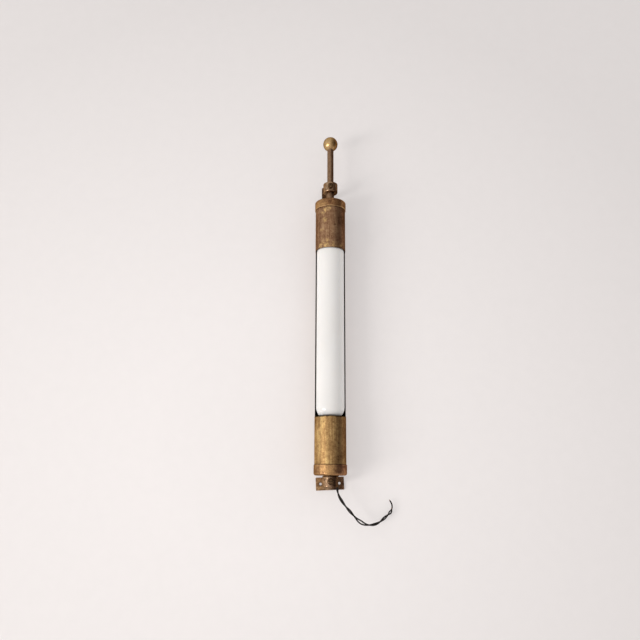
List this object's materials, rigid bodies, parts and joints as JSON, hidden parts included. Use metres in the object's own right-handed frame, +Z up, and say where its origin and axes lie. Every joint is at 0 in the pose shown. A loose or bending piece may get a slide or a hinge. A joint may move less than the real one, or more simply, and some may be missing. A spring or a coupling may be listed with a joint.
{
  "type": "barber pole light",
  "caption": "Upright wall light: an aged brass tube with a tall front window onto an opal glass cylinder, capped ends, two wall brackets, a ball finial on a rod and a short bare lead.",
  "frame": {"origin": "middle of the back face of the lower wall plate, on the wall", "axes": "+Z up along the pole, +Y into the wall, +X to the right of someone facing the light"},
  "size_m": [0.1612, 0.083, 0.8308],
  "materials": {
    "tube_brass": "aged brass tube, brown patina above, golden below",
    "cap_brass": "aged brass, coppery brown",
    "stem_brass": "tarnished brass pipe, olive brown",
    "finial_brass": "polished old brass",
    "bracket_brass": "dark tarnished brass casting",
    "screw_brass": "tarnished slotted screw",
    "plain_brass": "plain brass",
    "steel": "plain steel",
    "porcelain": "glazed porcelain",
    "opal_glass": "white opal glass, fire polished",
    "lamp_glass": "frosted lamp glass",
    "clear_glass": "clear glass",
    "lamp_aluminium": "pressed aluminium",
    "lamp_vitrite": "black glass insulator",
    "bushing_rubber": "black rubber",
    "gasket_rubber": "grey rubber",
    "cloth_lead": "near-black braided cloth over rubber"
  },
  "bodies": {
    "wall_brackets": {"bottom_bracket_plate": "bracket_brass", "bottom_bracket_arm": "bracket_brass", "top_bracket_plate": "bracket_brass", "top_bracket_arm": "bracket_brass"},
    "pole": {"body_tube": "tube_brass", "bottom_cap": "cap_brass", "top_cap": "cap_brass", "top_stem": "stem_brass", "top_locknut": "plain_brass", "bottom_pivot": "stem_brass", "bottom_locknut": "plain_brass", "wire_bushing": "bushing_rubber", "socket_bridge": "plain_brass", "socket_bridge_screws": "steel", "socket_body": "porcelain", "socket_shell": "plain_brass", "socket_contact": "plain_brass", "terminal_screws": "plain_brass", "internal_leads": "cloth_lead", "lead_pair": "cloth_lead", "glass_holder": "plain_brass", "glass_gasket": "gasket_rubber", "glass_cylinder": "opal_glass", "glass_top_ring": "plain_brass"},
    "finial": {"finial_rod": "stem_brass", "finial_ball": "finial_brass"},
    "lamp": {"lamp_glass": "lamp_glass", "lamp_base": "lamp_aluminium", "lamp_insulator": "lamp_vitrite", "lamp_tip": "plain_brass", "lamp_stem": "clear_glass", "lamp_filament": "steel"},
    "bottom_set_screw": {"bottom_set_screw": "screw_brass"},
    "top_set_screw": {"top_set_screw": "screw_brass"}
  },
  "joints": [
    {"name": "pole_swivel", "type": "hinge", "parent": "wall_brackets", "child": "pole", "pos_m": [0, -0.05, 0], "axis": [0, 0, 1], "range_deg": [-90, 0]},
    {"name": "finial_unscrew", "type": "slide", "parent": "pole", "child": "finial", "axis": [0, 0, 1], "range_m": [0, 0.058]},
    {"name": "lamp_unscrew", "type": "slide", "parent": "pole", "child": "lamp", "axis": [0, 0, 1], "range_m": [0, 0.026]},
    {"name": "bottom_screw_travel", "type": "slide", "parent": "wall_brackets", "child": "bottom_set_screw", "axis": [0, -1, 0], "range_m": [0, 0.006]},
    {"name": "top_screw_travel", "type": "slide", "parent": "wall_brackets", "child": "top_set_screw", "axis": [0, -1, 0], "range_m": [0, 0.006]}
  ]
}
